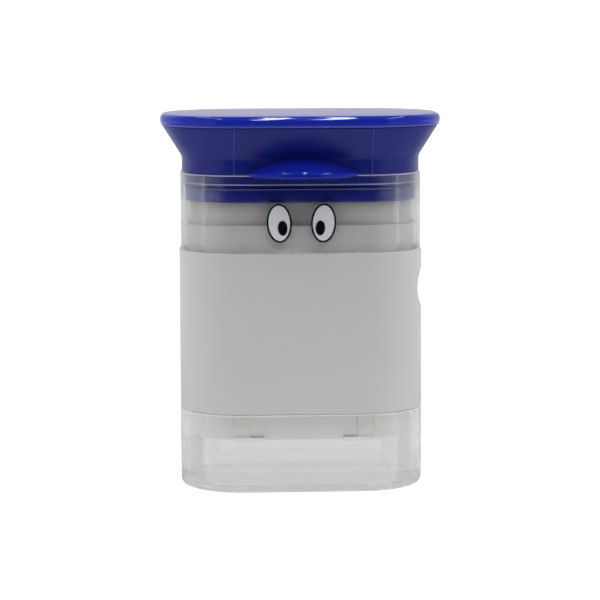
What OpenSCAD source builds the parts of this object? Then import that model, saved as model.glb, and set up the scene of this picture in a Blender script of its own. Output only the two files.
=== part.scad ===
// Press-down pill crusher: storage cup, crushing barrel, clear cover, cap-shaped press with plunger.
// Millimetres. Origin: centre of the underside. +Z is up and the face looks along -Y.
// Every plan is a rounded rectangle about the same four corner axes, so each wall is one radius.

/* [Overall] */
// width of the barrel, side to side
body_w = 60.4; // [54:0.2:76]
// depth of the barrel, front to back
body_d = 36.4; // [33:0.2:44]
// plan radius of the barrel's corners
corner_r = 15.4; // [12.5:0.1:16.2]
// height of the storage cup
cup_h = 19.5; // [18:0.5:30]
// height of the barrel between the cup and the cover
barrel_h = 39.7; // [34:0.5:60]
// height of the clear cover
cover_h = 19.0; // [18:0.5:26]

/* [Press cap] */
// height of the straight neck above the cover
cap_neck_h = 3.9; // [2:0.2:8]
// height of the sloping skirt
cap_flare_h = 7.8; // [5:0.1:12]
// how far the skirt spreads past the neck on each side
cap_flare_out = 4.9; // [2:0.05:9]
// thickness of the top disc
disc_t = 2.7; // [2.4:0.1:5]
// how far the peak stands in front of the neck
peak_out = 8.4; // [5:0.1:12]
// width of the peak
peak_w = 27.6; // [20:0.2:34]
// thickness of the peak at its middle
peak_t = 1.8; // [1.2:0.1:2.4]
// forward droop of the peak, degrees
peak_droop = 17.5; // [5:0.5:25]

/* [Walls] */
// wall of the storage cup
cup_wall = 1.5; // [1.2:0.1:1.8]
// floor of the storage cup
cup_floor = 1.0; // [0.8:0.1:2]
// wall of the clear cover
cover_wall = 0.95; // [0.8:0.05:1.2]
// wall of the barrel's upper neck
neck_wall = 1.0; // [0.8:0.1:2]
// wall of the plunger
plunger_wall = 1.6; // [1.2:0.1:2.2]
// thickness of the crushing plates
plate_t = 2.4; // [2:0.1:3]

/* [Crushing ridges] */
// number of ridges on each plate
ridge_n = 11; // [5:1:13]
// height of a ridge
ridge_h = 0.8; // [0.5:0.1:1.2]
// gap left between the ridges at the bottom of the stroke
crush_gap = 0.3; // [0.2:0.1:1]

/* [Face] */
// width of an eye
eye_w = 6.14; // [4:0.02:7]
// height of an eye
eye_h = 9.54; // [6:0.02:11]
// distance between the middles of the eyes
eye_gap = 10.8; // [8:0.1:14]
// lean of each eye away from the middle, degrees
eye_lean = 3; // [0:1:8]
// width of the printed outline
ink_w = 0.46; // [0.2:0.02:0.6]

/* [Fits] */
// side clearance between the plunger and the barrel
plunger_fit = 0.3; // [0.2:0.05:0.5]
// side clearance between the barrel's upper neck and the cover
neck_fit = 0.15; // [0.1:0.05:0.3]
// side clearance between the cap's plug and the cover
plug_fit = 0.2; // [0.15:0.05:0.3]
// side clearance between the snap feet and the cup
foot_fit = 0.25; // [0.2:0.05:0.5]
// gap where one part rests on the next
seat_gap = 0.1; // [0.1:0.05:0.3]

/* [Hidden] */
$fn = 96;

// half distances between the corner axes; a radius below is measured from a corner axis
ax = body_w / 2 - corner_r;
ay = body_d / 2 - corner_r;
// radii
r_body = corner_r;
r_cup = corner_r + 0.05;
r_cup_in = r_cup - cup_wall;
r_cover = corner_r - 0.4;
r_cover_in = r_cover - cover_wall;
r_neck = r_cover_in - neck_fit;
r_bore = r_neck - neck_wall;
r_plunger = r_bore - plunger_fit;
r_plunger_in = r_plunger - plunger_wall;
r_plug = r_cover_in - plug_fit;
r_plug_in = r_plug - 2.75;
r_capneck = r_cover - 0.4;
r_skirt = r_capneck + cap_flare_out;
r_disc = r_skirt + 0.36;
r_spigot = r_bore - 0.4;
r_spigot_in = r_spigot - 1.4;
// heights
z_barrel = cup_h + seat_gap;
z_ledge = z_barrel + 2;
z_split = z_barrel + barrel_h - seat_gap;
z_cover = z_split + seat_gap;
z_neck = z_split + 6.8;
z_rim = z_cover + cover_h;
z_capneck = z_rim + seat_gap;
z_flare = z_capneck + cap_neck_h;
z_seam = z_flare + cap_flare_h;
z_top = z_seam + disc_t;
z_plug = z_capneck - 6.85;
z_plug_floor = z_plug + 2;
z_groove = z_plug + 3.0;
groove_h = 1.7;
z_spigot = z_barrel - 6.7;
z_foot = z_spigot - 0.2;
foot_h = 0.9;
z_crush = z_ledge + plate_t + ridge_h + crush_gap;
z_plate_top = z_crush + ridge_h + plate_t;
// snap legs: a narrow leg in a slot of the spigot, with a wider lip at its foot
tab_w = 7.5;
leg_w = 4;
tab_x = min(13.5, ax - 1.3);
leg_x = tab_x + (tab_w - leg_w) / 2;
screw_d = min(r_plug_in - 3.1, r_plunger_in - 2.5);
boss_r = max(3, r_plunger_in - screw_d + 0.5);
peg_x = min(10, ax - 3);
peg_y = min(6, ay + 3.2);
// finger notch in the barrel's right side
notch_d = 1.5;
notch_h = 10.4;
notch_z = z_split - 9.4;
notch_r = (notch_h * notch_h / 4 + notch_d * notch_d) / (2 * notch_d);
// eyes
eye_z = z_cover + 7.4;
eye_mid_x = -0.5;
print_t = 0.12;
y_face = -(ay + r_cover);
// peak: plan circle through its two roots and its tip
peak_r = (peak_w * peak_w / 4 + peak_out * peak_out) / (2 * peak_out);
peak_arch = 3.2;
under_arch = peak_arch - peak_t + 0.3;
arch_r = (peak_w * peak_w / 4 + peak_arch * peak_arch) / (2 * peak_arch);
under_r = (peak_w * peak_w / 4 + under_arch * under_arch) / (2 * under_arch);

// plan of a rounded rectangle at radius r from the corner axes
module plan(r) {
  square([2 * ax + 2 * r, 2 * ay], center = true);
  square([2 * ax, 2 * ay + 2 * r], center = true);
  for (x = [-ax, ax]) for (y = [-ay, ay]) translate([x, y]) circle(r);
}

module prism(r, z0, z1) {
  translate([0, 0, z0]) linear_extrude(height = z1 - z0) plan(r);
}

// carries a profile round the plan; the child's x is the distance from a corner axis, its y the height
module sweep() {
  for (q = [[1, 1, 0], [-1, 1, 90], [-1, -1, 180], [1, -1, 270]])
    translate([q[0] * ax, q[1] * ay, 0]) rotate([0, 0, q[2]]) rotate_extrude(angle = 90) children();
  for (s = [0, 180]) rotate([0, 0, s]) {
    translate([ax, ay, 0]) rotate([90, 0, 0]) linear_extrude(height = 2 * ay) children();
    translate([-ax, ay, 0]) rotate([90, 0, 90]) linear_extrude(height = 2 * ax) children();
  }
}

// the block between the corner axes, which closes a swept solid
module core(z0, z1) {
  translate([-ax, -ay, z0]) cube([2 * ax, 2 * ay, z1 - z0]);
}

// clear storage cup with a rounded foot
module base_cup() {
  foot = 1.8;
  inside = 1.6;
  rb = r_cup - 0.12;
  color([0.86, 0.87, 0.88, 0.4]) difference() {
    union() {
      core(0, cup_h);
      sweep() union() {
        polygon([[0, 0], [rb - foot, 0], [rb - foot, foot], [rb, foot], [r_cup, cup_h], [0, cup_h]]);
        translate([rb - foot, foot]) circle(foot);
      }
    }
    union() {
      core(cup_floor, cup_h + 1);
      sweep() union() {
        polygon([[0, cup_floor], [r_cup_in - inside, cup_floor], [r_cup_in - inside, cup_floor + inside],
                 [r_cup_in, cup_floor + inside], [r_cup_in, cup_h + 1], [0, cup_h + 1]]);
        translate([r_cup_in - inside, cup_floor + inside]) circle(inside);
      }
    }
  }
}

// white barrel: a bore for the plunger, a neck for the cover, a ledge and a spigot for the cup
module barrel() {
  color([0.88, 0.88, 0.88]) difference() {
    union() {
      prism(r_body, z_barrel, z_split);
      prism(r_neck, z_split, z_neck);
      prism(r_neck + 0.1, z_split, z_split + 1.1);
      prism(r_spigot, z_spigot, z_barrel);
    }
    prism(r_bore, z_ledge, z_neck + 1);
    prism(r_spigot_in, z_spigot - 1, z_ledge);
    for (s = [-1, 1]) {
      translate([s * tab_x - tab_w / 2 - 0.2, -(ay + r_spigot + 1), z_spigot - 1])
        cube([tab_w + 0.4, 2 * (ay + r_spigot + 1), foot_h + 1]);
      translate([s * leg_x - leg_w / 2 - 0.2, -(ay + r_spigot + 1), z_spigot - 1])
        cube([leg_w + 0.4, 2 * (ay + r_spigot + 1), z_barrel - z_spigot + 0.8]);
    }
    translate([ax + r_body - notch_d + notch_r, body_d, notch_z]) rotate([90, 0, 0])
      cylinder(h = 2 * body_d, r = notch_r);
  }
}

// ridges across a plate, pointing up from z
module ridges(r, z) {
  pitch = 2 * (ax + r - 1) / ridge_n;
  intersection() {
    prism(r, z, z + ridge_h);
    for (i = [0 : ridge_n - 1])
      translate([(i - (ridge_n - 1) / 2) * pitch, body_d, z]) rotate([90, 0, 0])
        linear_extrude(height = 2 * body_d)
          polygon([[-0.3 * pitch, 0], [0.3 * pitch, 0], [0.1 * pitch, ridge_h], [-0.1 * pitch, ridge_h]]);
  }
}

// ridged floor of the bore, with four snap legs that pass down the spigot
module crush_floor() {
  y_leg = ay + r_spigot_in - 0.2;
  color([0.86, 0.85, 0.82]) union() {
    prism(r_bore - 0.2, z_ledge, z_ledge + plate_t);
    ridges(r_bore - 0.8, z_ledge + plate_t);
    for (s = [0, 180]) rotate([0, 0, s]) for (m = [-1, 1]) {
      intersection() {
        prism(r_spigot_in - 0.2, z_foot, z_ledge);
        translate([m * leg_x - leg_w / 2, -y_leg, z_foot]) cube([leg_w, 1.8, z_ledge - z_foot]);
      }
      intersection() {
        prism(r_spigot - 0.05, z_foot, z_barrel - 0.5);
        translate([m * leg_x - leg_w / 2, -(y_leg + 4), z_foot]) cube([leg_w, 4.8, z_barrel - 0.5 - z_foot]);
      }
      intersection() {
        prism(min(r_spigot + 0.9, r_cup_in - foot_fit), z_foot, z_foot + foot_h);
        translate([m * tab_x - tab_w / 2, -(y_leg + 6), z_foot]) cube([tab_w, 6.8, foot_h]);
      }
    }
  }
}

// clear cover, open at both ends
module clear_cover() {
  // the mouth opens out below, to lead in the barrel's neck
  lead = [cover_wall * 0.45, 1.2];
  color([0.86, 0.87, 0.88, 0.4]) sweep()
    polygon([[r_cover_in + lead[0], z_cover], [r_cover, z_cover], [r_cover, z_rim],
             [r_cover_in, z_rim], [r_cover_in, z_cover + lead[1]]]);
}

function oval(w, h, n = 48) = [for (i = [0 : n - 1]) [w / 2 * cos(i * 360 / n), h / 2 * sin(i * 360 / n)]];

// places a flat print on the front of the cover; side is -1 for the left eye and 1 for the right
module on_face(side, lift) {
  translate([eye_mid_x + side * eye_gap / 2, y_face - lift, eye_z]) rotate([90, 0, 0])
    rotate([0, 0, -side * eye_lean]) children();
}

module eye_white(side) {
  color([0.96, 0.96, 0.96]) on_face(side, 0) linear_extrude(height = print_t)
    polygon(oval(eye_w - 2 * ink_w, eye_h - 2 * ink_w));
}

module eye_ink(side) {
  color([0.03, 0.03, 0.03]) union() {
    on_face(side, 0) linear_extrude(height = print_t) difference() {
      polygon(oval(eye_w, eye_h));
      polygon(oval(eye_w - 2 * ink_w, eye_h - 2 * ink_w));
    }
    on_face(side, print_t) translate([-side * 0.75, -1.24, 0]) linear_extrude(height = print_t)
      polygon(oval(0.375 * eye_w, 0.375 * eye_h));
  }
}

module eye_left_white() { eye_white(-1); }
module eye_left_ink() { eye_ink(-1); }
module eye_right_white() { eye_white(1); }
module eye_right_ink() { eye_ink(1); }

// the peak: a thin arched blade that droops forward
module peak() {
  y_root = -(ay + r_capneck);
  y_mid = y_root - peak_out + peak_r;
  difference() {
    intersection() {
      translate([0, y_mid, z_capneck - 8]) cylinder(h = 20, r = peak_r);
      translate([0, y_root, z_flare - 0.1]) rotate([90 + peak_droop, 0, 0]) difference() {
        translate([0, -arch_r, -6]) cylinder(h = 24, r = arch_r);
        translate([0, -peak_t - under_r, -7]) cylinder(h = 26, r = under_r);
      }
      translate([-peak_w, y_root - 2 * peak_out, z_capneck - 8]) cube([2 * peak_w, 2 * peak_out + 1.2, 20]);
    }
    prism(r_cover + 0.2, z_capneck - 20, z_capneck);
  }
}

// press cap: skirt, neck, peak and the hollow plug that slides in the cover
module press_cap() {
  slope = cap_flare_out / cap_flare_h;
  color([0.09, 0.11, 0.51]) difference() {
    union() {
      core(z_plug, z_seam);
      sweep() polygon([[0, z_plug], [r_plug, z_plug], [r_plug, z_groove], [r_plug - 1.5, z_groove],
                       [r_plug - 1.5, z_groove + groove_h], [r_plug, z_groove + groove_h],
                       [r_plug, z_capneck], [r_capneck, z_capneck], [r_capneck, z_flare],
                       [r_skirt, z_seam], [0, z_seam]]);
      peak();
    }
    union() {
      core(z_plug_floor, z_seam + 1);
      sweep() polygon([[0, z_plug_floor], [r_plug_in, z_plug_floor], [r_plug_in, z_flare],
                       [r_skirt - 2.4, z_seam], [r_skirt - 2.4, z_seam + 1], [0, z_seam + 1]]);
    }
    screw_spots() translate([0, 0, z_plug - 1]) cylinder(h = 4, r = 1.5);
  }
}

// top disc with a rounded rim and a locating skirt
module top_disc() {
  small = min(0.9, disc_t / 3);
  big = min(1.8, disc_t - small);
  skirt_r = r_plug_in + 2.2;
  color([0.09, 0.12, 0.53]) union() {
    core(z_top - 1.8, z_top);
    sweep() difference() {
      union() {
        polygon([[0, z_seam], [r_disc - small, z_seam], [r_disc - small, z_seam + small],
                 [r_disc, z_seam + small], [r_disc, z_top - big], [r_disc - big, z_top - big],
                 [r_disc - big, z_top], [0, z_top]]);
        translate([r_disc - small, z_seam + small]) circle(small);
        intersection() {
          translate([r_disc - big, z_top - big]) circle(big);
          translate([r_disc - big, z_top - big]) square([big + 1, big + 1]);
        }
        translate([skirt_r - 1.4, z_seam - 3]) square([1.4, 4]);
      }
      translate([-1, z_seam - 4]) square([skirt_r - 0.4, 4 + disc_t - 1.8]);
    }
  }
}

module seal_ring() {
  color([0.62, 0.66, 0.78]) sweep() translate([r_plug - 0.68, z_groove + groove_h / 2]) circle(0.78);
}

module screw_spots() {
  d = screw_d * sin(45);
  for (x = [-ax - d, ax + d]) for (y = [-ay - d, ay + d]) translate([x, y, 0]) children();
}

module peg_spots() {
  for (x = [-peg_x, peg_x]) for (y = [-peg_y, peg_y]) translate([x, y, 0]) children();
}

// hollow plunger, screwed up against the plug
module plunger() {
  color([0.80, 0.78, 0.74]) difference() {
    union() {
      difference() {
        prism(r_plunger, z_plate_top, z_plug);
        prism(r_plunger_in, z_plate_top + 2, z_plug + 1);
      }
      intersection() {
        prism(r_plunger - 0.5, z_plate_top + 1, z_plug);
        screw_spots() translate([0, 0, z_plate_top + 1]) cylinder(h = z_plug - z_plate_top - 1, r = boss_r);
      }
    }
    screw_spots() translate([0, 0, z_plug - 12]) cylinder(h = 13, r = 1.25);
    peg_spots() translate([0, 0, z_plate_top - 1]) cylinder(h = 4, r = 2.05);
  }
}

// ridged plate under the plunger, held by four pegs
module crush_plate() {
  color([0.86, 0.85, 0.82]) union() {
    prism(r_plunger - 0.1, z_plate_top - plate_t, z_plate_top);
    peg_spots() translate([0, 0, z_plate_top - 0.5]) cylinder(h = 2.3, r = 2);
    translate([0, 0, 2 * (z_plate_top - plate_t)]) mirror([0, 0, 1]) ridges(r_plunger - 0.6, z_plate_top - plate_t);
  }
}

module plunger_screws() {
  color([0.72, 0.72, 0.74]) screw_spots() difference() {
    union() {
      translate([0, 0, z_plug_floor]) cylinder(h = 1.8, r = 2.4);
      translate([0, 0, z_plug_floor - 10]) cylinder(h = 10.5, r = 1.2);
    }
    for (a = [0, 90]) rotate([0, 0, a]) translate([-1.5, -0.3, z_plug_floor + 0.9]) cube([3, 0.6, 1]);
  }
}

base_cup();
barrel();
crush_floor();
clear_cover();
eye_left_white();
eye_left_ink();
eye_right_white();
eye_right_ink();
press_cap();
top_disc();
seal_ring();
plunger();
crush_plate();
plunger_screws();
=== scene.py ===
import math

import bmesh
import bpy
from mathutils import Matrix, Vector


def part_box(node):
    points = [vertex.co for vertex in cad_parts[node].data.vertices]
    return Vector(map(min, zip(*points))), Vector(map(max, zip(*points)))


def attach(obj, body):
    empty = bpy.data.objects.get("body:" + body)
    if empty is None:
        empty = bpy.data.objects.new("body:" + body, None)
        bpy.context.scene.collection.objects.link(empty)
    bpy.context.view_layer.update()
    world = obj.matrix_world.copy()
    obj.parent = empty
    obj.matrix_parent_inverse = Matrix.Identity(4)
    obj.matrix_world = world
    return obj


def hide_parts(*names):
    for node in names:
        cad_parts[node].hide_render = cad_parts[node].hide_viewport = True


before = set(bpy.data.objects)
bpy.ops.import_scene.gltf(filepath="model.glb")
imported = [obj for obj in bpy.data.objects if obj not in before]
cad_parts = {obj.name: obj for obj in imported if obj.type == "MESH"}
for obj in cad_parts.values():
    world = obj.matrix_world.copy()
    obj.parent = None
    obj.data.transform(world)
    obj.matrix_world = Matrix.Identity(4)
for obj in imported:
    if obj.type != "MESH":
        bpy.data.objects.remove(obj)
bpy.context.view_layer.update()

MM = 0.001

# ---------------------------------------------------------------- camera
CAM_DIST = 0.6228            # metres in front of the object's middle
CAM_HEIGHT = 0.1225
CAM_SIDE = -0.00005
CAM_PITCH = 7.03             # degrees down
CAM_ROLL = -0.2
OBJ_YAW = 2.80               # the object stands turned by this; the camera goes round instead
LENS = 150.0
SENSOR = 36.0
CLIP = (0.01, 100)


def make_camera():
    cam = bpy.data.cameras.new("camera")
    cam.lens = LENS
    cam.sensor_width = SENSOR
    cam.clip_start, cam.clip_end = CLIP
    ob = bpy.data.objects.new("camera", cam)
    bpy.context.scene.collection.objects.link(ob)
    yaw = Matrix.Rotation(math.radians(-OBJ_YAW), 4, "Z")
    place = Matrix.Translation((CAM_SIDE, -CAM_DIST, CAM_HEIGHT))
    tilt = Matrix.Rotation(math.radians(90 - CAM_PITCH), 4, "X")
    roll = Matrix.Rotation(math.radians(CAM_ROLL), 4, "Z")
    ob.matrix_world = yaw @ place @ tilt @ roll
    bpy.context.scene.camera = ob


make_camera()

# ---------------------------------------------------------------- sizes, in metres
# The plan is a rectangle of corner axes at (+-AX, +-AY), grown by a radius R_...
(_, _, Z_SPIGOT), (barrel_x, barrel_y, Z_NECK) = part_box("barrel")
(_, _, Z_COVER), (cover_x, _, Z_RIM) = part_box("clear_cover")
_, (cup_x, _, Z_CUP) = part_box("base_cup")
_, (disc_x, _, Z_TOP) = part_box("top_disc")
(_, _, Z_PLUG), (_, _, Z_SEAM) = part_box("press_cap")

R_BODY = 15.4 * MM
CUP_WALL, CUP_FLOOR = 1.5 * MM, 1.0 * MM
COVER_WALL, NECK_WALL, SPIGOT_WALL, PLUG_WALL = 0.95 * MM, 1.0 * MM, 1.4 * MM, 2.75 * MM
NECK_PLAY, PLUG_PLAY = 0.15 * MM, 0.2 * MM
SPIGOT_STEP = 0.4 * MM       # spigot inside the line of the bore
CAPNECK_STEP = 0.4 * MM      # the press's neck inside the line of the cover
DISC_LAP = 0.36 * MM         # the disc stands out over the skirt
RIM_GAP = 0.1 * MM           # between rims that rest on each other
LEDGE_UP, CAPNECK_H = 2 * MM, 3.9 * MM

AX = barrel_x - R_BODY
AY = barrel_y - R_BODY
R_CUP = cup_x - AX
R_COVER = cover_x - AX
R_DISC = disc_x - AX
R_COVER_IN = R_COVER - COVER_WALL
R_NECK = R_COVER_IN - NECK_PLAY
R_BORE = R_NECK - NECK_WALL
R_PLUG = R_COVER_IN - PLUG_PLAY
R_PLUG_IN = R_PLUG - PLUG_WALL
R_CAPNECK = R_COVER - CAPNECK_STEP
R_SKIRT = R_DISC - DISC_LAP
R_SPIGOT = R_BORE - SPIGOT_STEP
R_SPIGOT_IN = R_SPIGOT - SPIGOT_WALL
R_CUP_IN = R_CUP - CUP_WALL
Z_BARREL = Z_CUP + RIM_GAP
Z_LEDGE = Z_BARREL + LEDGE_UP
Z_SPLIT = Z_COVER - RIM_GAP
Z_CAPNECK = Z_RIM + RIM_GAP
Z_FLARE = Z_CAPNECK + CAPNECK_H

GROOVE_Z, GROOVE_H, GROOVE_DEEP = Z_PLUG + 3.0 * MM, 1.7 * MM, 1.5 * MM
SEAL_Z = (GROOVE_Z + 0.1 * MM, GROOVE_Z + GROOVE_H - 0.1 * MM)
MOULD_X = 16.8 * MM          # mould lines on the front of the press, left and right


# ---------------------------------------------------------------- mesh helpers
def rounded(points, closed, steps):
    """points are (r, z, fillet radius); each corner with a radius becomes an arc."""
    out = []
    n = len(points)
    for i, (r, z, fillet) in enumerate(points):
        if fillet <= 0 or (not closed and i in (0, n - 1)):
            out.append((r, z))
            continue
        p = Vector((r, z))
        a = Vector(points[i - 1][:2]) - p
        b = Vector(points[(i + 1) % n][:2]) - p
        half = a.angle(b) / 2
        cut = min(fillet / math.tan(half), 0.48 * a.length, 0.48 * b.length)
        centre = p + (a.normalized() + b.normalized()).normalized() * (cut / math.cos(half))
        start = p + a.normalized() * cut - centre
        turn = start.angle_signed(p + b.normalized() * cut - centre)
        for k in range(steps + 1):
            t = -turn * k / steps
            out.append(tuple(centre + Matrix.Rotation(t, 2) @ start))
    return out


def plan_ring(r, corner, long_side=14, short_side=4):
    """Points round the plan at radius r, anticlockwise, always the same number."""
    pts = []
    for sx, sy, a0, side in ((1, -1, -90, short_side), (1, 1, 0, long_side),
                             (-1, 1, 90, short_side), (-1, -1, 180, long_side)):
        for k in range(corner + 1):
            a = math.radians(a0 + 90 * k / corner)
            pts.append((sx * AX + r * math.cos(a), sy * AY + r * math.sin(a)))
        nx, ny = -sy * AX, sx * AY
        a = math.radians(a0 + 90)
        end = (nx + r * math.cos(a), ny + r * math.sin(a))
        start = pts[-1]
        for k in range(1, side):
            t = k / side
            pts.append(tuple(s + (e - s) * t for s, e in zip(start, end)))
    return pts


def shade_smooth(me, sharp=35):
    me.polygons.foreach_set("use_smooth", [True] * len(me.polygons))
    me.set_sharp_from_angle(angle=math.radians(sharp))


def link(me, name):
    ob = bpy.data.objects.new(name, me)
    bpy.context.scene.collection.objects.link(ob)
    return ob


def finish_mesh(bm, name):
    bmesh.ops.recalc_face_normals(bm, faces=bm.faces)
    me = bpy.data.meshes.new(name)
    bm.to_mesh(me)
    bm.free()
    shade_smooth(me)
    return link(me, name)


def ring(bm, points):
    return [bm.verts.new(p) for p in points]


def loft(bm, rings, closed=False):
    """Skins a row of vertex rings; an open row gets a face at each end."""
    for i in range(len(rings) if closed else len(rings) - 1):
        a, b = rings[i], rings[(i + 1) % len(rings)]
        for j in range(len(a)):
            k = (j + 1) % len(a)
            bm.faces.new((a[j], a[k], b[k], b[j]))
    if not closed:
        bm.faces.new(list(reversed(rings[0])))
        bm.faces.new(rings[-1])


def sweep(name, profile, closed=True, steps=5, corner=24):
    """Carries a profile of (r, z, fillet) points round the plan."""
    bm = bmesh.new()
    loft(bm, [ring(bm, [(x, y, z) for x, y in plan_ring(r, corner)])
              for r, z in rounded(profile, closed, steps)], closed)
    return finish_mesh(bm, name)


def block(name, low, high):
    bm = bmesh.new()
    bmesh.ops.create_cube(bm, size=1.0)
    for v in bm.verts:
        v.co = Vector([low[i] + (high[i] - low[i]) * (v.co[i] + 0.5) for i in range(3)])
    return finish_mesh(bm, name)


def drum(name, radius, half_length, x, z, n):
    """A cylinder along Y."""
    bm = bmesh.new()
    turns = [2 * math.pi * k / n for k in range(n)]
    loft(bm, [ring(bm, [(x + radius * math.cos(a), y, z + radius * math.sin(a)) for a in turns])
              for y in (-half_length, half_length)])
    return finish_mesh(bm, name)


def apply(ob, modifier):
    bpy.context.view_layer.objects.active = ob
    ob.select_set(True)
    bpy.ops.object.modifier_apply(modifier=modifier.name)


def combine(target, others, how):
    """Booleans the other objects into the target and removes them."""
    for o in others:
        m = target.modifiers.new("b", "BOOLEAN")
        m.operation = how
        m.solver = "EXACT"
        m.object = o
        apply(target, m)
        bpy.data.objects.remove(o, do_unlink=True)
    shade_smooth(target.data)


# ---------------------------------------------------------------- node helpers
def srgb(r, g, b):
    f = lambda c: c / 12.92 if c <= 0.04045 else ((c + 0.055) / 1.055) ** 2.4
    return (f(r / 255), f(g / 255), f(b / 255), 1)


def shade(colour, k):
    return tuple(min(1, x * k) for x in colour[:3])


class Tree:
    """Short helpers for the nodes of a material or of the world."""

    def __init__(self, node_tree):
        self.t = node_tree

    def node(self, kind, **props):
        n = self.t.nodes.new("ShaderNode" + kind)
        for k, v in props.items():
            setattr(n, k, v)
        return n

    def feed(self, socket, value):
        """Links an output to a socket, or sets the socket's own value."""
        if isinstance(value, bpy.types.NodeSocket):
            self.t.links.new(value, socket)
        else:
            socket.default_value = value

    def made(self, n, values):
        for socket, v in zip(n.inputs, values):
            self.feed(socket, v)
        return n.outputs[0]

    def calc(self, op, a, b=0.0):
        return self.made(self.node("Math", operation=op), (a, b))

    def times(self, a, b):
        return self.calc("MULTIPLY", a, b)

    def greater(self, a, b):
        return self.calc("MAXIMUM", a, b)

    def mix_colour(self, fac, a, b):
        return self.made(self.node("MixRGB"), (fac, a, b))

    def mix_shader(self, fac, a, b):
        return self.made(self.node("MixShader"), (fac, a, b))

    def ranged(self, out, low, high, to_low=0.0, to_high=1.0, smooth=False):
        """Maps low to high onto to_low to to_high, and holds the ends."""
        n = self.node("MapRange", interpolation_type="SMOOTHSTEP" if smooth else "LINEAR")
        for name, v in (("Value", out), ("From Min", low), ("From Max", high),
                        ("To Min", to_low), ("To Max", to_high)):
            self.feed(n.inputs[name], v)
        return n.outputs["Result"]

    def split(self, vector):
        n = self.node("SeparateXYZ")
        self.t.links.new(vector, n.inputs[0])
        return n.outputs["X"], n.outputs["Y"], n.outputs["Z"]

    def ramp(self, fac, stops):
        n = self.node("ValToRGB")
        e = n.color_ramp.elements
        while len(e) < len(stops):
            e.new(0.5)
        for i, (p, c) in enumerate(stops):
            e[i].position = p
            e[i].color = (*c[:3], 1)
        self.feed(n.inputs["Fac"], fac)
        return n.outputs["Color"]


class Mat(Tree):
    """A principled material that works in the piece's own coordinates."""

    def __init__(self, name, colour, rough, **inputs):
        self.m = bpy.data.materials.new(name)
        self.m.use_nodes = True
        super().__init__(self.m.node_tree)
        self.b = self.t.nodes["Principled BSDF"]
        self.b.inputs["Base Color"].default_value = colour
        self.b.inputs["Roughness"].default_value = rough
        for k, v in inputs.items():
            self.b.inputs[k.replace("_", " ")].default_value = v
        self.co = self.node("TexCoord").outputs["Object"]

    def noise(self, scale, detail):
        n = self.node("TexNoise")
        n.inputs["Scale"].default_value = scale
        n.inputs["Detail"].default_value = detail
        self.feed(n.inputs["Vector"], self.co)
        return n.outputs["Fac"]

    def vary(self, fac, low, high):
        """Maps a 0.3 to 0.7 noise value to a range of numbers."""
        return self.ranged(fac, 0.3, 0.7, low, high)

    def clouds(self, dark, light):
        """Broad soft patches between two near colours."""
        return self.ramp(self.noise(CLOUD_SCALE, 4), [(0.35, dark), (0.65, light)])

    def to(self, out, socket):
        self.t.links.new(out, self.b.inputs[socket])

    def bump(self, height, strength, distance):
        n = self.node("Bump")
        n.inputs["Strength"].default_value = strength
        n.inputs["Distance"].default_value = distance
        self.feed(n.inputs["Height"], height)
        self.to(n.outputs["Normal"], "Normal")


# ---------------------------------------------------------------- materials
# noise scales, per metre
CLOUD_SCALE, GLOSS_SCALE, GRAIN_SCALE = 38, 420, 900
SOFT_GLOSS_SCALE, SATIN_SCALE, FINE_SCALE, SEAL_GRAIN_SCALE, SPECK_SCALE = 300, 260, 500, 700, 2400
FINE_BUMP = 0.003 * MM
BLUE = (0.0050, 0.0125, 0.235, 1)
# painted lighter blue for the peak: it stands in for the light the peak catches from above
PEAK_LIT_BLUE = (0.007, 0.018, 0.37, 1)
# paler blue for specks near the plug's ends
PALE_SPECK_BLUE = (0.12, 0.16, 0.40, 1)
# mould lines painted paler: a painted highlight along the ridges
LINE_HIGHLIGHT_BLUE = (0.05, 0.07, 0.40, 1)
PEAK_ROUGH = 0.09
SCATTERED = (0.86, 0.88, 0.92, 1)       # painted white for a clear wall's edge: a painted highlight for light that runs up inside the wall


def plastic(name, colour, rough, spread=0.06, grain=0.012, **inputs):
    """Moulded plastic with faint patches, uneven gloss and a fine grain."""
    m = Mat(name, colour, rough, **inputs)
    m.to(m.clouds(shade(colour, 1 - spread), shade(colour, 1 + spread)), "Base Color")
    m.to(m.vary(m.noise(GLOSS_SCALE, 2), rough * 0.8, rough * 1.25), "Roughness")
    m.bump(m.noise(GRAIN_SCALE, 3), 0.25, grain * MM)
    return m.m


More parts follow.
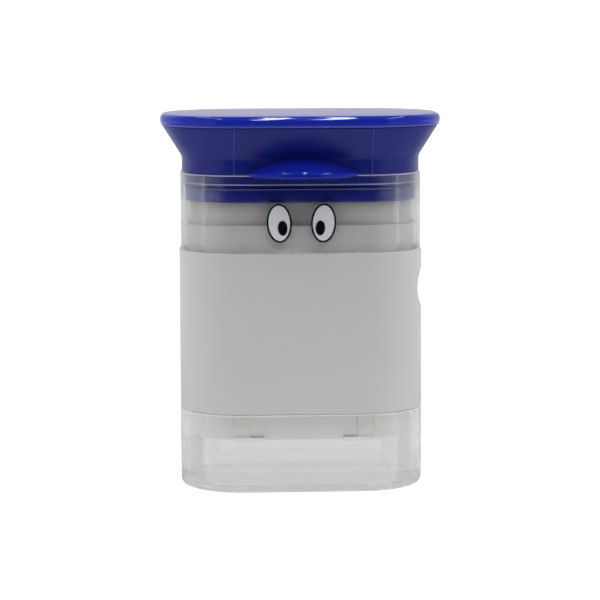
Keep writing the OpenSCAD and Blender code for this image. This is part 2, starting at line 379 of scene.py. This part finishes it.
def cap_blue():
    """Satin blue, glossier on the peak and painted a lighter blue there for the light it catches
    from above, with pale specks at the plug's ends and mould lines painted paler as a highlight.
    """
    m = Mat("blue_gloss", BLUE, 0.3)
    x, y, z = m.split(m.co)
    beside = m.calc("ABSOLUTE", x)
    ends = m.ranged(beside, 19.5 * MM, 24 * MM)
    below = m.ranged(z, GROOVE_Z + 0.3 * MM, GROOVE_Z - 0.1 * MM)
    specks = m.ramp(m.noise(SPECK_SCALE, 2), [(0.46, (0, 0, 0)), (0.56, (1, 1, 1))])
    # pale specks near the plug's ends, below the groove
    end_specks = m.times(m.times(specks, ends), below)
    # the mould lines are painted paler blue, a painted highlight where the ridges catch the light
    off_line = m.calc("ABSOLUTE", m.calc("SUBTRACT", beside, MOULD_X))
    line = m.times(m.ranged(off_line, 0.16 * MM, 0.06 * MM),
                   m.ranged(z, Z_CAPNECK, Z_CAPNECK + 0.1 * MM))
    front = -(AY + R_CAPNECK)
    peak = m.times(m.ranged(y, front - 0.5 * MM, front - 1.2 * MM),
                   m.ranged(z, Z_FLARE + 0.6 * MM, Z_FLARE))
    colour = m.mix_colour(end_specks, m.clouds(shade(BLUE, 0.95), shade(BLUE, 1.05)), PALE_SPECK_BLUE)
    # the peak is painted a lighter blue, a painted highlight for the light it catches from above
    colour = m.mix_colour(peak, colour, PEAK_LIT_BLUE)
    m.to(m.mix_colour(line, colour, LINE_HIGHLIGHT_BLUE), "Base Color")
    satin = m.vary(m.noise(SATIN_SCALE, 2), 0.29, 0.35)
    m.to(m.mix_colour(peak, satin, (PEAK_ROUGH, PEAK_ROUGH, PEAK_ROUGH, 1)), "Roughness")
    m.bump(m.noise(FINE_SCALE, 2), 0.2, FINE_BUMP)
    return m.m


def barrel_white():
    """White moulding; its spigot, which stands in the clear cup, is painted a lighter white to
    stand in for the light lost through the cup.
    """
    m = Mat("white_barrel", srgb(212, 212, 211), 0.33)
    spigot = m.ranged(m.split(m.co)[2], Z_BARREL, Z_BARREL - 0.2 * MM)
    cloud = m.clouds(srgb(211, 211, 210), srgb(213, 213, 212))
    # painted lighter white on the spigot, standing in for the light lost through the clear cup
    m.to(m.mix_colour(spigot, cloud, srgb(228, 226, 223)), "Base Color")
    m.to(m.vary(m.noise(GLOSS_SCALE, 2), 0.28, 0.38), "Roughness")
    return m.m


def seal_blue():
    """Dark blue with paler lips, where the light gets into the thin edges."""
    m = Mat("silicone", BLUE, 0.15)
    up = m.ranged(m.split(m.co)[2], *SEAL_Z)
    dark, low, high = (0.008, 0.012, 0.22), (0.14, 0.15, 0.34), (0.38, 0.40, 0.62)
    m.to(m.ramp(up, [(0.0, low), (0.16, low), (0.22, dark), (0.74, dark), (0.80, high),
                     (1.0, high)]), "Base Color")
    m.to(m.vary(m.noise(FINE_SCALE, 2), 0.12, 0.2), "Roughness")
    m.bump(m.noise(SEAL_GRAIN_SCALE, 2), 0.2, FINE_BUMP)
    return m.m


def clear(name, colour, tint, straight, rim_z, rim_share, foot_share=0.0, rough=0.03):
    """Clear moulded plastic whose thin walls let lamps and soft light straight through.

    straight is the share that isn't bent either for the eye. The rim, and the
    foot where it is asked for, scatter the light that runs up inside the wall.
    """
    m = Mat(name, colour, rough, IOR=1.49, Transmission_Weight=1.0)
    m.to(m.vary(m.noise(SOFT_GLOSS_SCALE, 2), rough * 0.6, rough * 1.4), "Roughness")
    path = m.node("LightPath")
    soft = m.greater(path.outputs["Is Shadow Ray"], path.outputs["Is Diffuse Ray"])
    unbent = m.node("BsdfTransparent")
    unbent.inputs["Color"].default_value = tint
    wall = m.mix_shader(m.greater(soft, straight), m.b.outputs[0], unbent.outputs[0])
    z = m.split(m.co)[2]
    rim = m.ranged(z, rim_z - 0.30 * MM, rim_z - 0.15 * MM, 0.0, rim_share)
    none, some = (0, 0, 0), (foot_share, foot_share, foot_share)
    foot = m.ramp(m.ranged(z, 0.0, 1.5 * MM),
                  [(0.08, none), (0.14, some), (0.4, some), (0.62, none)])
    # a white diffuse band on the rim and foot: a painted highlight for the light that runs up
    # inside the wall
    edge = m.node("BsdfDiffuse")
    edge.inputs["Color"].default_value = SCATTERED
    m.feed(m.t.nodes["Material Output"].inputs["Surface"],
           m.mix_shader(m.greater(rim, foot), wall, edge.outputs[0]))
    return m.m


blue = cap_blue()
blue_disc = plastic("blue_disc_gloss", (0.011, 0.028, 0.46, 1), 0.03, spread=0.04, grain=0.0005)
# paler blue for the seam ring: a painted highlight along the seam
seam_highlight_blue = plastic("seam_highlight_line", (0.10, 0.12, 0.50, 1), 0.25, spread=0.15, grain=0.002)
silicone = seal_blue()
white = barrel_white()
# the crush floor's white is painted lighter than the barrel's, standing in for the light lost
# through the clear cup
crush_white_lightened = plastic("crush_white_lightened", srgb(241, 239, 235), 0.4, spread=0.01, grain=0.001)
bone = plastic("plunger_bone", srgb(206, 204, 198), 0.42, spread=0.03, grain=0.003)
plate_bone = plastic("plate_bone", srgb(208, 206, 199), 0.45, spread=0.03, grain=0.003)
steel = plastic("screw_zinc", srgb(190, 190, 194), 0.3, spread=0.05, Metallic=1.0)
print_white = plastic("print_white", srgb(230, 232, 237), 0.28, spread=0.01)
print_black = plastic("print_black", srgb(14, 14, 16), 0.25, spread=0.2)
clear_cup = clear("clear_cup", (0.995, 0.997, 1.0, 1), (0.99, 0.99, 0.99, 1), 0.5,
                  Z_CUP, 0.8, foot_share=0.5)
clear_cover = clear("clear_cover", (0.97, 0.973, 0.978, 1), (0.935, 0.938, 0.942, 1), 0.45,
                    Z_RIM, 0.5)


def dress(ob, material, body, slot=None, *nodes):
    ob.data.materials.clear()
    ob.data.materials.append(material)
    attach(ob, body)
    if nodes:
        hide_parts(*nodes)


def repaint(node, material):
    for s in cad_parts[node].material_slots:
        s.material = material


# ---------------------------------------------------------------- storage cup
def make_cup():
    taper = 0.12 * MM
    rim, inner_foot, outer_foot = 0.4 * MM, 1.6 * MM, 1.8 * MM
    ob = sweep("storage_cup", [
        (6 * MM, CUP_FLOOR, 0), (R_CUP_IN - 0.1 * MM, CUP_FLOOR, inner_foot),
        (R_CUP_IN, Z_CUP, rim), (R_CUP, Z_CUP, rim),
        (R_CUP - taper, 0, outer_foot), (4 * MM, 0, 0)], closed=False, steps=8)
    dress(ob, clear_cup, "cup", "clear_cup_plastic", "base_cup")


# ---------------------------------------------------------------- barrel
NOTCH_D, NOTCH_H, NOTCH_Z = 1.5 * MM, 10.4 * MM, Z_SPLIT - 9.4 * MM
TAB_W, LEG_W, FOOT_H, TAB_PLAY = 7.5 * MM, 4 * MM, 0.9 * MM, 0.2 * MM
TAB_X = min(13.5 * MM, AX - 1.3 * MM)
CUT_HALF = 25 * MM           # cuts reach this far to the front and back


def make_barrel():
    """The body with its neck, collar and spigot, less the finger notch and the tab windows."""
    edge, body_edge = 0.25 * MM, 0.4 * MM
    r_collar, z_collar = R_NECK + 0.1 * MM, Z_SPLIT + 1.1 * MM
    ob = sweep("barrel_shell", [
        (R_BORE, Z_LEDGE, 0.2 * MM), (R_BORE, Z_NECK, edge), (R_NECK, Z_NECK, edge),
        (R_NECK, z_collar, 0), (r_collar, z_collar, 0), (r_collar, Z_SPLIT, 0.2 * MM),
        (R_BODY, Z_SPLIT, body_edge), (R_BODY, Z_BARREL, body_edge),
        (R_SPIGOT, Z_BARREL, body_edge), (R_SPIGOT, Z_SPIGOT, edge),
        (R_SPIGOT_IN, Z_SPIGOT, edge), (R_SPIGOT_IN, Z_LEDGE, edge)], corner=32)
    r = (NOTCH_H ** 2 / 4 + NOTCH_D ** 2) / (2 * NOTCH_D)
    cuts = [drum("cut_notch", r, 30 * MM, AX + R_BODY - NOTCH_D + r, NOTCH_Z, 256)]
    leg_x = TAB_X + (TAB_W - LEG_W) / 2
    for side in (-1, 1):
        for x, w, h in ((TAB_X, TAB_W, FOOT_H),
                        (leg_x, LEG_W, Z_BARREL - Z_SPIGOT - 0.2 * MM)):
            reach = w / 2 + TAB_PLAY
            cuts.append(block("cut_tab", (side * x - reach, -CUT_HALF, Z_SPIGOT - MM),
                              (side * x + reach, CUT_HALF, Z_SPIGOT + h)))
    combine(ob, cuts, "DIFFERENCE")
    dress(ob, white, "barrel_body", "white_plastic", "barrel")


# ---------------------------------------------------------------- clear cover
def make_cover():
    lead_in, lead_up = COVER_WALL * 0.45, 1.2 * MM
    ob = sweep("cover_shell", [
        (R_COVER_IN + lead_in, Z_COVER, 0.15 * MM), (R_COVER, Z_COVER, 0.2 * MM),
        (R_COVER, Z_RIM, 0.3 * MM), (R_COVER_IN, Z_RIM, 0.2 * MM),
        (R_COVER_IN, Z_COVER + lead_up, 0.1 * MM)], corner=32)
    dress(ob, clear_cover, "cover", "clear_cover_plastic", "clear_cover")


def make_brow(side, word):
    """A short printed arc over the outer half of an eye, given in mm from the eye's middle."""
    arc = ((3.0, 4.95, 0.03), (2.5, 5.35, 0.10), (1.9, 5.62, 0.16), (1.3, 5.78, 0.19),
           (0.7, 5.82, 0.17), (0.1, 5.78, 0.11), (-0.4, 5.66, 0.03))      # x, z, half width
    low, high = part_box(f"eye_{word}_ink")
    cx, cz = (low[0] + high[0]) / 2, (low[2] + high[2]) / 2
    wall = -(AY + R_COVER)
    front, back = wall - 0.10 * MM, wall + 0.02 * MM
    bm = bmesh.new()
    rows = []
    for x, z, half in arc:
        px, pz, h = cx + side * x * MM, cz + z * MM, half * MM
        rows.append(ring(bm, [(px, front, pz + h), (px, front, pz - h),
                              (px, back, pz - h), (px, back, pz + h)]))
    loft(bm, rows)
    dress(finish_mesh(bm, f"brow_{word}"), print_black, "cover", "black_print")


# ---------------------------------------------------------------- press
PEAK_HALF, PEAK_OUT, PEAK_T = 13.8 * MM, 8.4 * MM, 1.8 * MM
PEAK_DROOP, PEAK_ARCH = math.radians(17.5), 3.2 * MM
PEAK_ROOT = 1.0 * MM         # the blade starts this far inside the neck
PEAK_TIP = 0.06              # share of the thickness that is left at the ends
PEAK_NU, PEAK_NV = 64, 14


def make_peak():
    """A thin arched blade; its edge is rounded and its ends run out to nothing."""
    y_root = -(AY + R_CAPNECK)
    r = (PEAK_HALF ** 2 + PEAK_OUT ** 2) / (2 * PEAK_OUT)
    y_mid = y_root - PEAK_OUT + r
    bm = bmesh.new()
    rows = []
    for i in range(PEAK_NU + 1):
        u = -1 + 2 * i / PEAK_NU
        x = u * PEAK_HALF * 0.999
        reach = max(0.02 * MM, y_root - (y_mid - math.sqrt(max(r * r - x * x, 0))))
        half_t = PEAK_T * (math.sqrt(max(1 - u * u, 0)) * (1 - PEAK_TIP) + PEAK_TIP) / 2
        top, bottom = [], []
        for k in range(PEAK_NV + 1):
            v = math.sin(math.pi / 2 * k / PEAK_NV)
            out = -PEAK_ROOT + (reach + PEAK_ROOT) * v
            if reach > half_t:
                past = max(0.0, (out - (reach - half_t)) / half_t)
                edge = math.sqrt(max(0.0, 1 - past ** 2))
            else:
                edge = 1 - v * v
            z = (Z_FLARE - 0.1 * MM - PEAK_ARCH * u * u
                 - max(out, 0) * math.tan(PEAK_DROOP) - half_t)
            top.append((x, y_root - out, z + half_t * edge))
            bottom.append((x, y_root - out, z - half_t * edge))
        nose = (top[-1][0], top[-1][1], (top[-1][2] + bottom[-1][2]) / 2)
        rows.append(ring(bm, top[:-1] + [nose] + list(reversed(bottom[:-1]))))
    loft(bm, rows)
    bmesh.ops.remove_doubles(bm, verts=bm.verts, dist=1e-6)
    return finish_mesh(bm, "peak")


def skirt_radius(z):
    """Radius of the press's outside between the neck's foot and the seam."""
    if z <= Z_FLARE:
        return R_CAPNECK
    return R_CAPNECK + (R_SKIRT - R_CAPNECK) * (z - Z_FLARE) / (Z_SEAM - Z_FLARE)


def make_mould_line(x):
    """A hair-thin parting ridge that runs up the neck and skirt beside a corner."""
    half, proud, deep, clear_end, n = 0.10 * MM, 0.09 * MM, MM, 0.4 * MM, 14
    bend_fill = 0.12 * MM        # the skirt's concave bend is filleted by this much
    bm = bmesh.new()
    rows = []
    for i in range(n + 1):
        z = Z_CAPNECK + clear_end + (Z_SEAM - Z_CAPNECK - 2 * clear_end) * i / n
        r = skirt_radius(z)
        if abs(z - Z_FLARE) < MM:
            r += bend_fill * (1 - abs(z - Z_FLARE) / MM)
        y = -(AY + math.sqrt(r * r - max(0, abs(x) - AX) ** 2))
        rows.append(ring(bm, [(x - half, y + deep, z), (x - half, y, z), (x, y - proud, z),
                              (x + half, y, z), (x + half, y + deep, z)]))
    loft(bm, rows)
    return finish_mesh(bm, "mould_line")


def make_cap():
    """Plug with its groove, neck and flared skirt, with the peak and the mould lines."""
    edge, floor_t = 0.3 * MM, 2 * MM
    g0, g1, rg = GROOVE_Z, GROOVE_Z + GROOVE_H, R_PLUG - GROOVE_DEEP
    ob = sweep("cap_body", [
        (5 * MM, Z_PLUG, 0), (R_PLUG, Z_PLUG, 0.6 * MM), (R_PLUG, g0, 0.15 * MM),
        (rg, g0, 0.1 * MM), (rg, g1, 0.1 * MM), (R_PLUG, g1, 0.15 * MM),
        (R_PLUG, Z_CAPNECK, 0.2 * MM), (R_CAPNECK, Z_CAPNECK, edge),
        (R_CAPNECK, Z_FLARE, 2.5 * MM), (R_SKIRT, Z_SEAM, edge),
        (R_SKIRT - 2.4 * MM, Z_SEAM, 0.2 * MM), (R_PLUG_IN, Z_FLARE, MM),
        (R_PLUG_IN, Z_PLUG + floor_t, 0.5 * MM), (5 * MM, Z_PLUG + floor_t, 0)],
        closed=False, corner=32)
    combine(ob, [make_peak(), make_mould_line(-MOULD_X), make_mould_line(MOULD_X)], "UNION")
    dress(ob, blue, "press", "blue_plastic", "press_cap")


def make_disc():
    """The rounded disc on top, with the collar under it that locates it in the skirt."""
    top_edge, seam_edge, inner_edge = 1.8 * MM, 0.9 * MM, 0.2 * MM
    collar_r, collar_t, collar_h, plate_t = R_PLUG_IN + 2.2 * MM, 1.4 * MM, 3 * MM, 1.8 * MM
    ob = sweep("cap_disc", [
        (7 * MM, Z_TOP, 0), (R_DISC, Z_TOP, top_edge), (R_DISC, Z_SEAM, seam_edge),
        (collar_r, Z_SEAM, inner_edge), (collar_r, Z_SEAM - collar_h, inner_edge),
        (collar_r - collar_t, Z_SEAM - collar_h, inner_edge),
        (collar_r - collar_t, Z_TOP - plate_t, 0.4 * MM), (5 * MM, Z_TOP - plate_t, 0)],
        closed=False, corner=36, steps=10)
    dress(ob, blue_disc, "press", "blue_disc_plastic", "top_disc")


def make_seam():
    """A hairline ring where the disc is welded to the skirt, painted pale: a painted highlight for
    the light the seam's edge catches.
    """
    r, z0, z1, edge = R_SKIRT + 0.16 * MM, Z_SEAM - 0.05 * MM, Z_SEAM + 0.32 * MM, 0.08 * MM
    ob = sweep("seam_line", [(r - MM, z0, 0), (r, z0, edge), (r, z1, edge), (r - MM, z1, 0)],
               corner=32, steps=3)
    dress(ob, seam_highlight_blue, "press", "blue_plastic")


def make_seal():
    """A seal with two raised lips and a hollow between them."""
    r, (z0, z1) = R_PLUG + 0.10 * MM, SEAL_Z
    lip, deep, edge, slope = 0.32 * MM, 0.35 * MM, 0.14 * MM, 0.1 * MM
    back = r - 1.4 * MM
    ob = sweep("seal", [
        (back, z0, 0.1 * MM), (r, z0, edge), (r, z0 + lip, edge),
        (r - deep, z0 + lip + slope, 0.1 * MM), (r - deep, z1 - lip - slope, 0.1 * MM),
        (r, z1 - lip, edge), (r, z1, edge), (back, z1, 0.1 * MM)], corner=32, steps=4)
    dress(ob, silicone, "press", "seal_silicone", "seal_ring")


# ---------------------------------------------------------------- pieces kept from the solids
def bevelled(node, name, width, material, body, slot):
    """A copy of a CAD solid with its sharp edges rounded over."""
    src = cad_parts[node]
    me = src.data.copy()
    me.name = name
    me.transform(src.matrix_world)
    bm = bmesh.new()
    bm.from_mesh(me)
    bmesh.ops.remove_doubles(bm, verts=bm.verts, dist=1e-6)
    bmesh.ops.dissolve_limit(bm, angle_limit=math.radians(1.0), verts=bm.verts, edges=bm.edges)
    bm.to_mesh(me)
    bm.free()
    ob = link(me, name)
    m = ob.modifiers.new("bevel", "BEVEL")
    m.width = width
    m.segments = 2
    m.limit_method = "ANGLE"
    m.angle_limit = math.radians(35)
    m.use_clamp_overlap = True
    apply(ob, m)
    shade_smooth(ob.data, 50)
    dress(ob, material, body, slot, node)


make_cup()
make_barrel()
make_cover()
make_cap()
make_disc()
make_seam()
make_seal()
bevelled("crush_floor", "crush_base", 0.2 * MM, crush_white_lightened, "barrel_body", "floor_plastic")
bevelled("plunger", "plunger_body", 0.3 * MM, bone, "press", "plunger_plastic")
bevelled("crush_plate", "crush_face", 0.2 * MM, plate_bone, "press", "plate_plastic")
bevelled("plunger_screws", "screws", 0.15 * MM, steel, "press", "screw_steel")
for side, word in ((-1, "left"), (1, "right")):
    repaint(f"eye_{word}_white", print_white)
    repaint(f"eye_{word}_ink", print_black)
    make_brow(side, word)

# ---------------------------------------------------------------- studio
FLOOR_HALF, FLOOR_DROP = 12.0, 0.0001
FLOOR_PALE, FLOOR_DARK = (0.74, 0.74, 0.74, 1), (0.025, 0.025, 0.03, 1)
FLOOR_SHOWN = 0.55           # light added to the floor that the camera sees
FLOOR_BOUNCE = 0.22          # extra soft light from the white floor
FLOOR_FRONT = (0.12, 0.20)   # the floor is dark beyond these distances, inside the wedge
FRONT_WEDGE = (0.74, 0.82)   # cosines of the half angle of the dark wedge in front
AHEAD = (-0.35, -0.05)       # over these distances the floor dims in the gloss
MIRROR_DIM = 0.6             # how much dimmer the floor ahead looks in the gloss
SEEN_THROUGH = 0.67          # brightness of everything pale that is seen through clear plastic
DOME_FRONT, DOME_BRIGHT = 0.14, 0.95      # soft light: low in front, and elsewhere
BACKDROP, SIDES, CEILING, DARK = 0.56, 0.24, 0.10, 0.015   # what the gloss mirrors
# strip lamps, which draw the highlights along the rim: x, y, turn in degrees, width, watts
STRIPS = {"strip_a": (0.0735, -1.1, 0.43, 0.026, 4.3), "strip_b": (0.146, -1.1, 1.1, 0.026, 4.3),
          "strip_c": (-0.70, 0.20, -3.3, 0.07, 5.5), "strip_d": (1.17, -0.45, 9.0, 0.08, 8)}
STRIP_Z, STRIP_LENGTH = 1.9, 2.6


def wedge(t, x, y):
    """1 towards the front, 0 elsewhere."""
    flat = t.calc("POWER", t.calc("ADD", t.calc("POWER", x, 2.0), t.calc("POWER", y, 2.0)), 0.5)
    cos = t.calc("DIVIDE", t.times(y, -1.0), flat)
    return t.ranged(cos, *FRONT_WEDGE, smooth=True)


def seen_through(t, path):
    """1 for what the eye meets through clear plastic, without a reflection on the way."""
    camera = t.times(path["Is Camera Ray"],
                     t.calc("GREATER_THAN", path["Transparent Depth"], 0.5))
    bent = t.times(path["Is Transmission Ray"], t.calc("LESS_THAN", path["Glossy Depth"], 0.5))
    return t.greater(camera, bent)


def make_floor():
    bm = bmesh.new()
    s = FLOOR_HALF
    bm.faces.new(ring(bm, ((-s, -s, 0), (s, -s, 0), (s, s, 0), (-s, s, 0))))
    ob = finish_mesh(bm, "studio_floor")
    ob.location.z = -FLOOR_DROP
    m = Mat("studio_floor", FLOOR_PALE, 0.9, Specular_IOR_Level=0.0, Emission_Color=(1, 1, 1, 1))
    path = m.node("LightPath").outputs
    shown = m.times(path["Is Camera Ray"], FLOOR_SHOWN)
    bounce = m.times(path["Is Diffuse Ray"], FLOOR_BOUNCE)
    m.to(m.calc("ADD", shown, bounce), "Emission Strength")
    x, y, _ = m.split(m.co)
    nearer = m.times(y, -1.0)
    far = m.ranged(nearer, *FLOOR_FRONT, smooth=True)
    unlit = m.times(m.times(far, wedge(m, x, y)), m.calc("SUBTRACT", 1.0, path["Is Camera Ray"]))
    depth = m.calc("ADD", path["Transmission Depth"], path["Transparent Depth"])
    direct = m.times(path["Is Glossy Ray"], m.calc("LESS_THAN", depth, 0.5))
    ahead = m.times(m.ranged(nearer, *AHEAD, smooth=True), MIRROR_DIM)
    unlit = m.greater(unlit, m.times(ahead, direct))
    dark = m.node("BsdfDiffuse")
    dark.inputs["Color"].default_value = FLOOR_DARK
    glow = m.node("Emission")
    glow.inputs["Strength"].default_value = SEEN_THROUGH
    lit = m.mix_shader(unlit, m.b.outputs[0], dark.outputs[0])
    m.feed(m.t.nodes["Material Output"].inputs["Surface"],
           m.mix_shader(seen_through(m, path), lit, glow.outputs[0]))
    ob.data.materials.append(m.m)


def make_world():
    """A white room with a dark opening in front and a dim ceiling, and soft dome light."""
    w = bpy.data.worlds.new("studio")
    w.use_nodes = True
    bpy.context.scene.world = w
    t = Tree(w.node_tree)
    path = t.node("LightPath").outputs
    x, y, z = t.split(t.node("TexCoord").outputs["Generated"])

    def blend(fac, a, b):
        """a where fac is 0, b where it is 1."""
        return t.calc("ADD", t.times(t.calc("SUBTRACT", 1.0, fac), a), t.times(fac, b))

    def rising(out, low, high):
        return t.ranged(out, low, high, smooth=True)

    dome = blend(t.greater(rising(y, -0.80, -0.15), rising(z, 0.45, 0.85)),
                 DOME_FRONT, DOME_BRIGHT)
    walls = blend(rising(y, 0.1, 0.7), SIDES, BACKDROP)
    room = blend(rising(z, 0.55, 0.75), blend(wedge(t, x, y), walls, DARK), CEILING)
    mirrored = t.greater(path["Is Glossy Ray"], path["Is Transmission Ray"])
    light = blend(seen_through(t, path), blend(mirrored, dome, room), SEEN_THROUGH)
    unveiled = t.times(path["Is Camera Ray"], t.calc("LESS_THAN", path["Transparent Depth"], 0.5))
    sky = t.t.nodes["Background"]
    t.feed(sky.inputs["Strength"], blend(unveiled, light, 1.0))
    sky.inputs["Color"].default_value = (1, 1, 1, 1)


def make_strip(name, x, y, turn, width, power):
    """A long lamp overhead that points straight down and that the camera doesn't see."""
    lamp = bpy.data.lights.new(name, "AREA")
    lamp.shape = "RECTANGLE"
    lamp.size, lamp.size_y = width, STRIP_LENGTH
    lamp.energy = power
    ob = bpy.data.objects.new(name, lamp)
    bpy.context.scene.collection.objects.link(ob)
    ob.location = (x, y, STRIP_Z)
    ob.rotation_euler = (0, 0, math.radians(turn))
    ob.visible_camera = False


make_floor()
make_world()
for name, values in STRIPS.items():
    make_strip(name, *values)
bpy.context.scene.view_settings.view_transform = "Standard"
